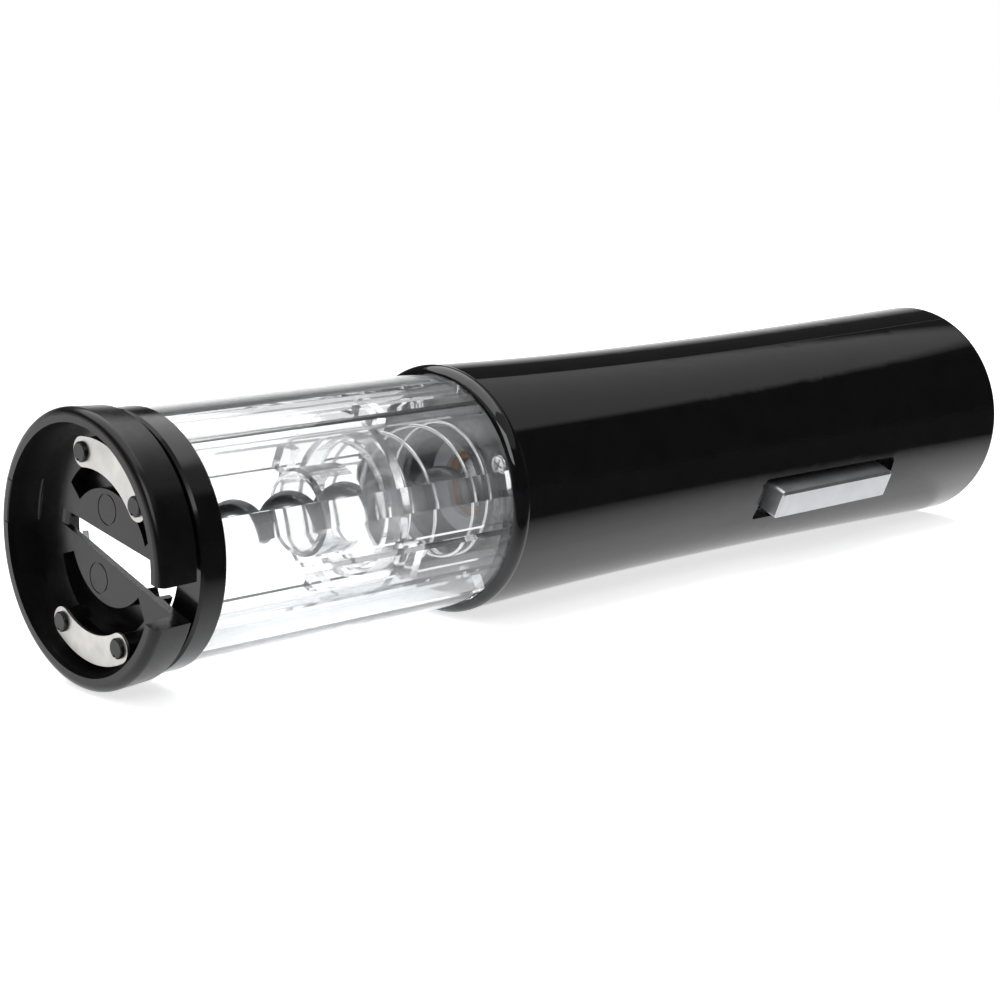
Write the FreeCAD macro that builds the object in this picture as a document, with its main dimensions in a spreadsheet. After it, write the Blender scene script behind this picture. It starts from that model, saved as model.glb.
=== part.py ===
import FreeCAD, Part

import math
import os

import Sketcher

# Battery wine opener, lying level on its side. The X axis is the opener's own axis: the bottle
# end is at x = 0, the closed rear end is at the overall length, and +Z is up.
#
# Handle pieces are drawn as if the rocker button faced straight up (+Z) and are then turned about
# the X axis by button_clock. Foil cutter pieces are drawn with the open end of their slot
# facing straight up and are then turned by slot_clock.

doc = FreeCAD.newDocument("wine_opener")
sheet = doc.addObject("Spreadsheet::Sheet", "dims")

DIMENSIONS = [
    # overall, millimetres and degrees
    ("overall_length", 246.0),
    ("button_clock", 113.0),
    ("slot_clock", 105.0),
    ("fit_gap", 0.05),
    # foil cutter
    ("cutter_front_radius", 25.1),
    ("cutter_radius", 24.6),
    ("cutter_lip_radius", 22.4),
    ("cutter_lip_length", 1.2),
    ("cutter_cavity_radius", 21.5),
    ("cutter_depth", 7.7),
    ("cutter_rounding", 1.5),
    ("cutter_floor", 6.0),
    ("cutter_floor_thickness", 1.2),
    ("cutter_spigot_radius", 16.2),
    ("cutter_spigot_end", 9.75),
    ("trough_outer", 14.7),
    ("trough_outer_shift", 1.0),
    ("trough_inner", 12.3),
    ("trough_inner_shift", -1.9),
    ("trough_lift", 0.9),
    ("trough_deep_radius", 15.2),
    ("trough_end", 9.0),
    ("trough_wall", 0.75),
    ("slot_half_width", 2.27),
    ("slot_slope", 0.065),
    ("web_start", -20.9),
    ("web_half_width", 4.0),
    ("web_gap", 0.02),
    ("ejector_radius", 2.85),
    ("ejector_across", 6.6),
    ("ejector_along", -0.9),
    ("blade_inner", 14.75),
    ("blade_outer", 20.15),
    ("blade_lift", 1.2),
    ("blade_front", 2.3),
    ("blade_thickness", 0.5),
    ("blade_from", 50.0),
    ("blade_to", 110.5),
    ("stake_radius", 1.3),
    ("stake_head_radius", 1.85),
    ("stake_head_height", 0.7),
    ("pillar_radius", 2.4),
    # bottle tube and its mouth ring
    ("mouth_front", 9.4),
    ("mouth_rear", 14.6),
    ("mouth_radius", 23.84),
    ("mouth_bore", 16.4),
    ("mouth_flange_rear", 11.2),
    ("tube_radius", 23.4),
    ("tube_bore", 21.4),
    ("tube_step_radius", 22.4),
    ("tube_step_front", 11.25),
    ("tube_end_plate", 85.0),
    ("tube_rear", 87.0),
    ("rib_tip_radius", 19.2),
    ("rib_width", 4.7),
    ("rib_angle", 56.0),
    ("rib_front", 14.9),
    ("rail_width", 1.2),
    ("rail_offset", 3.7),
    # sliding cork guide and its spring
    ("guide_front", 47.5),
    ("guide_flange", 57.5),
    ("guide_flange_rear", 59.3),
    ("guide_rear", 63.5),
    ("guide_nose_radius", 8.5),
    ("guide_bore", 7.3),
    ("guide_flange_radius", 18.4),
    ("guide_rim_bore", 12.3),
    ("guide_rim_radius", 13.9),
    ("lug_radius", 21.0),
    ("lug_width", 5.6),
    ("spring_wire", 0.7),
    ("spring_front_radius", 13.0),
    ("spring_rear_radius", 13.5),
    # worm and output shaft
    ("worm_pitch", 12.8),
    ("worm_mean_radius", 3.1),
    ("worm_wire_radius", 1.5),
    ("worm_point", 14.2),
    ("worm_turns", 5.6),
    ("shaft_radius", 5.4),
    ("shaft_front", 94.0),
    ("shaft_rear", 103.0),
    # gearbox
    ("pocket_bore", 10.5),
    ("pocket_radius", 12.2),
    ("front_plate_radius", 22.4),
    ("screw_circle", 18.3),
    ("screw_radius", 1.1),
    ("screw_head_radius", 2.0),
    ("retainer_front", 91.5),
    ("retainer_rear", 93.0),
    ("retainer_bore", 6.9),
    ("bush_radius", 8.5),
    ("bush_rear", 99.2),
    ("housing_radius", 18.0),
    ("housing_front", 97.5),
    ("housing_cavity", 99.3),
    ("housing_rear", 119.5),
    ("gear_module", 0.5),
    ("pressure_angle", 25.0),
    ("sun_teeth", 9),
    ("planet_teeth", 27),
    ("ring_teeth", 63),
    ("gear_addendum", 0.4),
    ("gear_dedendum", 0.525),
    ("gear_backlash", 0.1),
    ("planet_centres", 9.0),
    ("planet_pin_radius", 1.0),
    ("carrier_radius", 12.8),
    ("output_carrier_front", 100.5),
    ("middle_carrier_front", 110.4),
    # motor
    ("motor_radius", 13.85),
    ("motor_front", 122.0),
    ("motor_rear", 157.0),
    ("motor_shaft_radius", 1.15),
    # battery pack
    ("cell_radius", 7.25),
    ("cell_length", 49.5),
    ("cell_spacing", 7.3),
    ("tray_front", 172.5),
    ("tray_wall", 1.5),
    ("tray_length", 57.1),
    ("tray_half_width", 15.75),
    ("tray_top", 15.55),
    # handle shells
    ("handle_front", 82.5),
    ("handle_mouth_radius", 23.5),
    ("handle_rim", 85.6),
    ("handle_rim_radius", 24.9),
    ("handle_waist", 149.0),
    ("handle_waist_radius", 24.0),
    ("handle_flare", 200.0),
    ("handle_flare_radius", 24.65),
    ("handle_rear_radius", 25.7),
    ("handle_wall", 2.2),
    ("handle_rounding", 1.6),
    ("boss_offset", 17.5),
    ("door_front", 170.0),
    ("door_rear", 232.0),
    ("door_half_width", 14.0),
    ("door_gap", 0.2),
    # rocker button and switches
    ("button_centre", 182.5),
    ("button_length", 40.0),
    ("button_width", 6.7),
    ("button_top", 27.3),
    ("button_bottom", 20.6),
    ("pocket_length", 46.5),
    ("pocket_width", 10.3),
    ("pocket_floor", 22.0),
    ("pivot_height", 20.7),
    ("pivot_radius", 0.75),
    ("switch_offset", 7.5),
    ("board_bottom", 15.65),
    ("board_top", 16.65),
    ("switch_top", 19.15),
    ("plunger_top", 19.85),
]

for row, (alias, value) in enumerate(DIMENSIONS, start=1):
    sheet.set("A%d" % row, str(value))
    sheet.setAlias("A%d" % row, alias)
doc.recompute()

ORIGIN = FreeCAD.Vector()
X_AXIS = FreeCAD.Vector(1, 0, 0)
Y_AXIS = FreeCAD.Vector(0, 1, 0)
Z_AXIS = FreeCAD.Vector(0, 0, 1)
QUARTER = FreeCAD.Rotation(Y_AXIS, 90)
vec = FreeCAD.Vector
PIECES = []


def size(alias):
    """The value of one named dimension."""
    return float(getattr(sheet, alias))


def number(expression):
    """The value that a bound expression has now."""
    value = sheet.evalExpression(expression.replace("dims.", ""))
    return float(getattr(value, "Value", value))


def turn(degrees):
    """A turn about the opener's own axis."""
    return FreeCAD.Placement(ORIGIN, FreeCAD.Rotation(X_AXIS, degrees))


# ---------------------------------------------------------------- parametric pieces

def body(label, clock=None):
    """A PartDesign body for one piece, turned about X by the named clock angle."""
    made = doc.addObject("PartDesign::Body", label)
    made.Placement = turn(size(clock) if clock else 0.0)
    if clock:
        made.setExpression("Placement.Rotation.Angle", "dims." + clock)
    PIECES.append(made)
    return made


def base_feature(owner, role):
    """The body's own origin plane or axis with this role."""
    found = [feature for feature in owner.Origin.OriginFeatures if feature.Role == role]
    return (found[0], [""])


def outline_sketch(owner, name, plane, outline):
    """A closed straight-sided outline whose every corner is bound to the sheet."""
    sketch = owner.newObject("Sketcher::SketchObject", name)
    sketch.AttachmentSupport = base_feature(owner, plane)
    sketch.MapMode = "FlatFace"
    corners = [vec(number(across), number(up), 0) for across, up in outline]
    count = len(corners)
    for k in range(count):
        sketch.addGeometry(Part.LineSegment(corners[k], corners[(k + 1) % count]))
    for k in range(count):
        sketch.addConstraint(Sketcher.Constraint("Coincident", k, 2, (k + 1) % count, 1))
    for k, corner in enumerate(outline):
        for kind, expression in zip(("DistanceX", "DistanceY"), corner):
            value = number(expression)
            index = sketch.addConstraint(Sketcher.Constraint(kind, -1, 1, k, 1, value))
            sketch.setExpression("Constraints[%d]" % index, expression)
    return sketch


def turned(label, outline, clock=None):
    """A piece turned about X: the outline is a list of (x, radius) expressions."""
    made = body(label, clock)
    revolved = made.newObject("PartDesign::Revolution", label + "_turned")
    revolved.Profile = outline_sketch(made, label + "_outline", "XY_Plane", outline)
    revolved.ReferenceAxis = base_feature(made, "X_Axis")
    revolved.Angle = 360
    return made


def ring(label, front, rear, inner, outer, clock=None):
    """A plain turned ring."""
    corners = [(front, inner), (rear, inner), (rear, outer), (front, outer)]
    return turned(label, corners, clock)


def block(made, kind, name, across_x, across_y, across_z):
    """Add or take away a box; each span is a pair of expressions."""
    feature = made.newObject("PartDesign::%sBox" % kind, name)
    spans = (("Length", "x", across_x), ("Width", "y", across_y), ("Height", "z", across_z))
    for side, letter, (start, end) in spans:
        feature.setExpression(side, "(%s) - (%s)" % (end, start))
        feature.setExpression("Placement.Base.%s" % letter, start)
    return feature


def rod_feature(made, kind, name, radius, along_x, y="0", z="0"):
    """Add or take away a cylinder that lies along X."""
    feature = made.newObject("PartDesign::%sCylinder" % kind, name)
    feature.Placement = FreeCAD.Placement(ORIGIN, QUARTER)
    feature.setExpression("Radius", radius)
    feature.setExpression("Height", "(%s) - (%s)" % (along_x[1], along_x[0]))
    feature.setExpression("Placement.Base.x", along_x[0])
    feature.setExpression("Placement.Base.y", y)
    feature.setExpression("Placement.Base.z", z)
    return feature


def post_feature(made, kind, name, radius, x, y, along_z):
    """Add or take away a cylinder that stands along Z."""
    feature = made.newObject("PartDesign::%sCylinder" % kind, name)
    feature.setExpression("Radius", radius)
    feature.setExpression("Height", "(%s) - (%s)" % (along_z[1], along_z[0]))
    feature.setExpression("Placement.Base.x", x)
    feature.setExpression("Placement.Base.y", y)
    feature.setExpression("Placement.Base.z", along_z[0])
    return feature


# ---------------------------------------------------------------- shapes worked out in code

def shaped(label, shape, clock=None):
    """A piece whose shape is worked out below from the sheet's values."""
    made = doc.addObject("Part::Feature", label)
    made.Shape = shape if shape.Placement.isIdentity() else Part.makeCompound([shape])
    made.Placement = turn(size(clock) if clock else 0.0)
    if clock:
        made.setExpression("Placement.Rotation.Angle", "dims." + clock)
    PIECES.append(made)
    return made


def rod(radius, start, end, y=0.0, z=0.0):
    return Part.makeCylinder(radius, end - start, vec(start, y, z), X_AXIS)


def pipe(outer, inner, start, end):
    return rod(outer, start, end).cut(rod(inner, start, end))


def brick(x_span, y_span, z_span):
    low = vec(x_span[0], y_span[0], z_span[0])
    return Part.makeBox(x_span[1] - x_span[0], y_span[1] - y_span[0], z_span[1] - z_span[0], low)


def around(radius, degrees):
    """Y and Z of a point at this radius; degrees run from +Y towards +Z."""
    angle = math.radians(degrees)
    return radius * math.cos(angle), radius * math.sin(angle)


def at_angle(x, radius, degrees):
    y, z = around(radius, degrees)
    return vec(x, y, z)


def fused(shapes):
    return shapes[0].multiFuse(shapes[1:]).removeSplitter()


def prism(corners, start, end):
    """A flat outline of (y, z) corners carried along X."""
    points = [vec(start, y, z) for y, z in corners]
    face = Part.Face(Part.makePolygon(points + points[:1]))
    return face.extrude(vec(end - start, 0, 0))


def banana(inner, outer, from_angle, to_angle, start, end):
    """A curved bar with round ends: end centres at the two angles, carried along X."""
    middle = (from_angle + to_angle) / 2
    mean = (inner + outer) / 2
    half = (outer - inner) / 2
    outer_arc = Part.Arc(at_angle(start, outer, from_angle), at_angle(start, outer, middle),
                         at_angle(start, outer, to_angle))
    inner_arc = Part.Arc(at_angle(start, inner, to_angle), at_angle(start, inner, middle),
                         at_angle(start, inner, from_angle))
    past_to = to_angle + math.copysign(math.degrees(half / mean), to_angle - from_angle)
    past_from = from_angle - math.copysign(math.degrees(half / mean), to_angle - from_angle)
    to_end = Part.Arc(at_angle(start, outer, to_angle), at_angle(start, mean, past_to),
                      at_angle(start, inner, to_angle))
    from_end = Part.Arc(at_angle(start, inner, from_angle), at_angle(start, mean, past_from),
                        at_angle(start, outer, from_angle))
    edges = [arc.toShape() for arc in (outer_arc, to_end, inner_arc, from_end)]
    return Part.Face(Part.Wire(edges)).extrude(vec(end - start, 0, 0))


def sector(inner, outer, from_angle, to_angle, start, end):
    """A curved bar with straight ends, carried along X."""
    middle = (from_angle + to_angle) / 2
    outer_arc = Part.Arc(at_angle(start, outer, from_angle), at_angle(start, outer, middle),
                         at_angle(start, outer, to_angle))
    inner_arc = Part.Arc(at_angle(start, inner, to_angle), at_angle(start, inner, middle),
                         at_angle(start, inner, from_angle))
    to_end = Part.makeLine(at_angle(start, outer, to_angle), at_angle(start, inner, to_angle))
    from_end = Part.makeLine(at_angle(start, inner, from_angle),
                             at_angle(start, outer, from_angle))
    edges = [outer_arc.toShape(), to_end, inner_arc.toShape(), from_end]
    return Part.Face(Part.Wire(edges)).extrude(vec(end - start, 0, 0))


# ---------------------------------------------------------------- foil cutter

def cutter_cup():
    """The foil cutter before it is slit: bulged rim, floor and the spigot behind it."""
    depth = size("cutter_depth")
    floor = size("cutter_floor")
    lip = size("cutter_lip_radius")
    lip_end = size("cutter_lip_length")
    radius = size("cutter_radius")
    rim = Part.makeCone(size("cutter_front_radius"), radius, depth, ORIGIN, X_AXIS)
    front_edges = [edge for edge in rim.Edges
                   if edge.BoundBox.XMax < 0.01 and edge.BoundBox.YLength > 2 * radius - 0.1]
    rim = rim.makeFillet(size("cutter_rounding"), front_edges)
    cavity = Part.makeCone(lip, size("cutter_cavity_radius"), floor - lip_end,
                           vec(lip_end, 0, 0), X_AXIS)
    rim = rim.cut(rod(lip, -1, lip_end + 0.01)).cut(cavity)
    spigot = rod(size("cutter_spigot_radius"), depth - 0.5, size("cutter_spigot_end"))
    return fused([rim, spigot])


def slot_wedge(side):
    """Everything on one jaw's side of the slot: side is +1 for the upper jaw, -1 for the lower."""
    reach = 40.0
    web_start = size("web_start")
    web_half = size("web_half_width")
    slope = size("slot_slope")
    half = size("slot_half_width")
    corners = [(web_half, -reach), (web_half, web_start), (half + slope * web_start, web_start),
               (half + slope * reach, reach), (reach, reach), (reach, -reach)]
    return prism([(side * y, z) for y, z in corners], -5, 30)


def hinge_web():
    """The piece of rim at the closed end of the slot that bends when the jaws are squeezed."""
    half = size("web_half_width") - size("web_gap")
    return cutter_cup().common(brick((-1, 20), (-half, half),
                                     (-40, size("web_start") - size("web_gap"))))


def crescent_prism(side, grow, start, end):
    """The outline of the trough, grown by this much all round, as a solid from start to end."""
    lift = size("trough_lift")
    crescent = rod(size("trough_outer") + grow, start, end,
                   side * size("trough_outer_shift"), lift)
    crescent = crescent.cut(rod(size("trough_inner") - grow, start, end,
                                side * size("trough_inner_shift"), lift))
    ends = [(2.6 - 0.85 * grow, -5.4 - 0.53 * grow), (2.0 - 0.59 * grow, 9.2 + 0.81 * grow),
            (20.0 - 0.59 * grow, 22.4 + 0.81 * grow), (28.0, -10.0),
            (11.0 - 0.85 * grow, -19.0 - 0.53 * grow)]
    return crescent.common(prism([(side * y, z) for y, z in ends], start, end))


def trough(side):
    """The crescent-shaped hollow in one jaw's floor, under its blade."""
    start = size("cutter_floor") - 1
    step = size("cutter_depth") - 0.1
    end = size("trough_end")
    crescent = crescent_prism(side, 0.0, start, end)
    deep = crescent.common(rod(size("trough_deep_radius"), start, end))
    return crescent.cut(rod(40, step, end)).fuse(deep)


def recess(side):
    """The space behind the thin floor, inside the spigot, around the back of the trough."""
    start = size("cutter_floor") + size("cutter_floor_thickness")
    end = size("cutter_spigot_end") + 1
    return rod(size("trough_deep_radius"), start, end).cut(
        crescent_prism(side, size("trough_wall"), start - 1, end + 1))


def stake_places():
    """Y and Z, on the upper jaw, of the two stakes that hold its blade."""
    mean = (size("blade_inner") + size("blade_outer")) / 2
    places = []
    for degrees in (size("blade_from"), size("blade_to")):
        y, z = around(mean, 90 - degrees)
        places.append((y, z + size("blade_lift")))
    return places


def stake(y, z, side):
    """A pillar under the blade, a pin through it, and a spread head with a nick in its edge."""
    front = size("blade_front")
    rear = front + size("blade_thickness")
    radius = size("stake_head_radius")
    pillar = rod(size("pillar_radius"), rear, size("cutter_floor") + 0.6, y, z)
    pin = rod(size("stake_radius"), front - 0.3, rear + 0.2, y, z)
    head = rod(radius, front - size("stake_head_height"), front, y, z)
    face_edges = [edge for edge in head.Edges
                  if edge.BoundBox.XMax < front - size("stake_head_height") + 0.01]
    head = head.makeFillet(0.35, face_edges)
    nick = brick((front - 2, front - 0.25), (y - radius - 1, y - radius + 0.6),
                 (z - 0.35, z + 0.35))
    return [pillar, pin, head.cut(nick)]


def cutter_jaw(label, side):
    """One half of the foil cutter, with the stakes that hold its blade."""
    floor = size("cutter_floor")
    radius = size("ejector_radius")
    place = (side * size("ejector_across"), size("ejector_along"))
    mark = rod(radius, floor - 1, floor + 0.15, *place)
    mark = mark.cut(rod(radius - 0.25, floor - 2, floor + 1, *place))
    jaw = cutter_cup().cut(recess(side)).common(slot_wedge(side)).cut(trough(side)).cut(mark)
    stakes = []
    for y, z in stake_places():
        stakes.extend(stake(side * y, z, side))
    return shaped(label, fused([jaw] + stakes), "slot_clock")


def cutter_blade(label, side):
    """A curved steel plate with a hole near each end."""
    start = size("blade_front")
    end = start + size("blade_thickness")
    plate = banana(size("blade_inner"), size("blade_outer"), 90 - size("blade_from"),
                   90 - size("blade_to"), start, end)
    plate.translate(vec(0, 0, size("blade_lift")))
    for y, z in stake_places():
        plate = plate.cut(rod(size("stake_radius") + 0.02, start - 1, end + 1, y, z))
    if side < 0:
        plate = plate.mirror(ORIGIN, Y_AXIS)
    return shaped(label, plate, "slot_clock")


cutter_jaw("cutter_jaw_upper", 1)
cutter_jaw("cutter_jaw_lower", -1)
shaped("cutter_hinge_web", hinge_web(), "slot_clock")
cutter_blade("blade_upper", 1)
cutter_blade("blade_lower", -1)


# ---------------------------------------------------------------- bottle tube

turned("mouth_ring", [
    ("dims.mouth_front", "dims.mouth_bore + 0.6"),
    ("dims.mouth_front + 0.6", "dims.mouth_bore"),
    ("dims.mouth_flange_rear", "dims.mouth_bore"),
    ("dims.mouth_flange_rear", "dims.tube_step_radius + 0.02"),
    ("dims.mouth_rear - 0.02", "dims.tube_step_radius + 0.02"),
    ("dims.mouth_rear - 0.02", "dims.mouth_radius - 0.25"),
    ("dims.mouth_rear - 0.3", "dims.mouth_radius"),
    ("dims.mouth_front + 0.5", "dims.mouth_radius"),
    ("dims.mouth_front", "dims.mouth_radius - 0.5"),
])


def clear_tube():
    """The see-through tube with its inner ribs and rails and the drilled end plate."""
    made = turned("clear_tube", [
        ("dims.tube_step_front", "dims.tube_bore"),
        ("dims.tube_end_plate", "dims.tube_bore"),
        ("dims.tube_end_plate", "dims.pocket_radius + 0.2"),
        ("dims.tube_rear", "dims.pocket_radius + 0.2"),
        ("dims.tube_rear", "dims.tube_radius"),
        ("dims.mouth_rear", "dims.tube_radius"),
        ("dims.mouth_rear", "dims.tube_step_radius"),
        ("dims.tube_step_front", "dims.tube_step_radius"),
    ], "button_clock")
    doc.recompute()
    for k, angle in enumerate(("dims.rib_angle", "180 - dims.rib_angle",
                               "180 + dims.rib_angle", "-dims.rib_angle"), start=1):
        place_rib(made.newObject("PartDesign::AdditiveBox", "wide_rib_%d" % k), angle)
    span = ("dims.rib_front", "dims.tube_end_plate + 0.5")
    reach = ("dims.rib_tip_radius - 0.2", "sqrt(dims.tube_bore ^ 2 - dims.rail_offset ^ 2) + 0.4")
    flip = ("-(%s)" % reach[1], "-(%s)" % reach[0])
    for name, side in (("plus", ("dims.rail_offset - dims.rail_width / 2",
                                 "dims.rail_offset + dims.rail_width / 2")),
                       ("minus", ("-dims.rail_offset - dims.rail_width / 2",
                                  "-dims.rail_offset + dims.rail_width / 2"))):
        block(made, "Additive", "rail_right_" + name, span, reach, side)
        block(made, "Additive", "rail_left_" + name, span, flip, side)
        block(made, "Additive", "rail_top_" + name, span, side, reach)
        block(made, "Additive", "rail_bottom_" + name, span, side, flip)
    for k in range(4):
        degrees = 45 + 90 * k
        rod_feature(made, "Subtractive", "screw_hole_%d" % (k + 1), "dims.screw_radius + 0.1",
                    ("dims.tube_end_plate - 1", "dims.tube_rear + 1"),
                    "dims.screw_circle * cos(%d)" % degrees,
                    "dims.screw_circle * sin(%d)" % degrees)
    return made


def place_rib(rib, angle):
    """Size one rib's box and set it against the tube's inner wall at this angle from +Y."""
    rib.setExpression("Length", "dims.tube_end_plate - dims.rib_front - 1.6")
    rib.setExpression("Width", "dims.tube_bore - dims.rib_tip_radius + 0.6")
    rib.setExpression("Height", "dims.rib_width")
    rib.setExpression("Placement.Base.x", "dims.rib_front")
    rib.setExpression("Placement.Base.y", "dims.rib_tip_radius * cos(%s) "
                                          "+ dims.rib_width / 2 * sin(%s)" % (angle, angle))
    rib.setExpression("Placement.Base.z", "dims.rib_tip_radius * sin(%s) "
                                          "- dims.rib_width / 2 * cos(%s)" % (angle, angle))
    rib.Placement.Rotation = FreeCAD.Rotation(X_AXIS, number(angle))
    rib.setExpression("Placement.Rotation.Angle", angle)


clear_tube()


# ---------------------------------------------------------------- cork guide and spring

def cork_guide():
    """The see-through collar that meets the bottle's lip and slides back against the spring."""
    made = turned("cork_guide", [
        ("dims.guide_front", "dims.guide_bore"),
        ("dims.guide_flange_rear", "dims.guide_bore"),
        ("dims.guide_flange_rear", "dims.guide_rim_bore"),
        ("dims.guide_rear", "dims.guide_rim_bore"),
        ("dims.guide_rear", "dims.guide_rim_radius"),
        ("dims.guide_flange_rear", "dims.guide_rim_radius"),
        ("dims.guide_flange_rear", "dims.guide_flange_radius"),
        ("dims.guide_flange", "dims.guide_flange_radius"),
        ("dims.guide_flange", "dims.guide_nose_radius"),
        ("dims.guide_front + 0.8", "dims.guide_nose_radius"),
        ("dims.guide_front", "dims.guide_nose_radius - 0.5"),
    ], "button_clock")
    doc.recompute()
    span = ("dims.guide_flange", "dims.guide_flange_rear + 2.2")
    reach = ("dims.guide_flange_radius - 1", "dims.lug_radius - 0.2")
    flip = ("-(%s)" % reach[1], "-(%s)" % reach[0])
    half = ("-dims.lug_width / 2", "dims.lug_width / 2")
    block(made, "Additive", "lug_right", span, reach, half)
    block(made, "Additive", "lug_left", span, flip, half)
    block(made, "Additive", "lug_top", span, half, reach)
    block(made, "Additive", "lug_bottom", span, half, flip)
    return made


cork_guide()


def coiled_wire(points, wire):
    """A round wire swept along a smooth curve through these points."""
    curve = Part.BSplineCurve()
    curve.interpolate(points)
    section = Part.makeCircle(wire / 2, points[0], curve.tangent(curve.FirstParameter)[0])
    return Part.Wire([curve.toShape()]).makePipeShell([Part.Wire([section])], True, True)


def guide_spring():
    """A soft compression spring: closed end turns and two wide turns between them."""
    wire = size("spring_wire")
    front = size("guide_rear") + wire / 2 + 0.02
    travel = size("tube_end_plate") - wire / 2 - 0.02 - front
    first, last, closed = -0.75, 3.4, 2.8
    per_turn = 12
    phase = 67.0
    points = []
    for k in range(int((last - first) * per_turn) + 1):
        turns = first + k / per_turn
        share = min(max((turns + 0.1) / (closed + 0.1), 0.0), 1.0)
        eased = share * share * (3 - 2 * share)
        seated = (wire * 1.02) * (min(turns, 0.0) + max(turns - closed, 0.0))
        lead = (wire * 1.02) * (0.0 - first)
        tail = (wire * 1.02) * (last - closed)
        x = front + lead + seated + eased * (travel - lead - tail)
        radius = (size("spring_front_radius") * (1 - eased)
                  + size("spring_rear_radius") * eased)
        points.append(at_angle(x, radius, 360 * turns + phase))
    return shaped("guide_spring", coiled_wire(points, wire), "button_clock")


guide_spring()


# ---------------------------------------------------------------- worm and output shaft

def along_x(shape):
    """Carry a shape that runs along Z onto the X axis."""
    placed = shape.copy()
    placed.Placement = FreeCAD.Placement(ORIGIN, QUARTER).multiply(placed.Placement)
    return placed


def worm():
    """A right-hand helix of round wire whose first turn is ground to a point."""
    pitch = size("worm_pitch")
    radius = size("worm_mean_radius")
    wire = size("worm_wire_radius")
    tip_spine = Part.Wire(Part.makeHelix(pitch, pitch, radius).Edges)
    edge = tip_spine.Edges[0]
    shell = Part.BRepOffsetAPI.MakePipeShell(tip_spine)
    shell.setFrenetMode(True)
    for parameter, section in ((edge.FirstParameter, 0.2), (edge.LastParameter, wire)):
        circle = Part.makeCircle(section, edge.valueAt(parameter), edge.tangentAt(parameter))
        shell.add(Part.Wire([circle]))
    shell.build()
    shell.makeSolid()
    tip = shell.shape()
    spine = Part.Wire(Part.makeHelix(pitch, pitch * size("worm_turns"), radius).Edges)
    edge = spine.Edges[0]
    start = edge.FirstParameter
    circle = Part.makeCircle(wire, edge.valueAt(start), edge.tangentAt(start))
    coil = spine.makePipeShell([Part.Wire([circle])], True, True)
    coil.translate(vec(0, 0, pitch))
    whole = along_x(tip.fuse(coil))
    whole.translate(vec(size("worm_point"), 0, 0))
    return shaped("worm", whole)


worm()

turned("output_shaft", [
    ("dims.shaft_front", "0"),
    ("dims.shaft_front", "dims.shaft_radius - 0.5"),
    ("dims.shaft_front + 0.5", "dims.shaft_radius"),
    ("dims.bush_rear + 0.15", "dims.shaft_radius"),
    ("dims.bush_rear + 0.15", "dims.shaft_radius + 1.4"),
    ("dims.output_carrier_front", "dims.shaft_radius + 1.4"),
    ("dims.output_carrier_front", "3"),
    ("dims.shaft_rear", "3"),
    ("dims.shaft_rear", "0"),
], "button_clock")

ring("bearing_retainer", "dims.retainer_front", "dims.retainer_rear", "dims.retainer_bore",
     "dims.pocket_bore - 0.1", "button_clock")
ring("output_bush", "dims.retainer_rear + 0.1", "dims.bush_rear",
     "dims.shaft_radius + dims.fit_gap", "dims.bush_radius", "button_clock")


# ---------------------------------------------------------------- gearbox

def front_plate():
    """The gearbox's front plate with the black pocket around the worm's root."""
    made = turned("gearbox_front_plate", [
        ("dims.tube_end_plate", "dims.pocket_bore"),
        ("dims.retainer_rear", "dims.pocket_bore"),
        ("dims.retainer_rear", "dims.bush_radius + 0.05"),
        ("dims.housing_front - 0.1", "dims.bush_radius + 0.05"),
        ("dims.housing_front - 0.1", "dims.pocket_radius"),
        ("dims.tube_rear + 2.6", "dims.pocket_radius"),
        ("dims.tube_rear + 2.6", "dims.front_plate_radius - 0.2"),
        ("dims.tube_rear + 0.1", "dims.front_plate_radius - 0.2"),
        ("dims.tube_rear + 0.1", "dims.pocket_radius"),
        ("dims.tube_end_plate", "dims.pocket_radius"),
    ], "button_clock")
    doc.recompute()
    for k in range(4):
        degrees = 45 + 90 * k
        place = ("dims.screw_circle * cos(%d)" % degrees, "dims.screw_circle * sin(%d)" % degrees)
        rod_feature(made, "Additive", "screw_boss_%d" % (k + 1), "3.2",
                    ("dims.tube_rear + 2", "dims.housing_front - 1.5"), place[0], place[1])
        rod_feature(made, "Subtractive", "boss_hole_%d" % (k + 1), "dims.screw_radius + 0.02",
                    ("dims.tube_rear - 1", "dims.housing_front"), place[0], place[1])
    return made


front_plate()


def pan_screw(x, y, z, length):
    """A cross-recessed pan-head screw along X whose head faces the bottle end."""
    head_radius = size("screw_head_radius")
    head = rod(head_radius, x - 1.1, x, y, z)
    rim = [edge for edge in head.Edges if edge.BoundBox.XMax < x - 1.0]
    head = head.makeFillet(0.45, rim)
    shank = rod(size("screw_radius"), x, x + length, y, z)
    recess = 1.1
    for span_y, span_z in ((recess, 0.22), (0.22, recess)):
        head = head.cut(brick((x - 2, x - 0.45), (y - span_y, y + span_y),
                              (z - span_z, z + span_z)))
    return head.fuse(shank)


shaped("plate_screws", Part.makeCompound([
    pan_screw(size("tube_end_plate"), *around(size("screw_circle"), 45 + 90 * k), length=9.5)
    for k in range(4)]), "button_clock")


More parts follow.
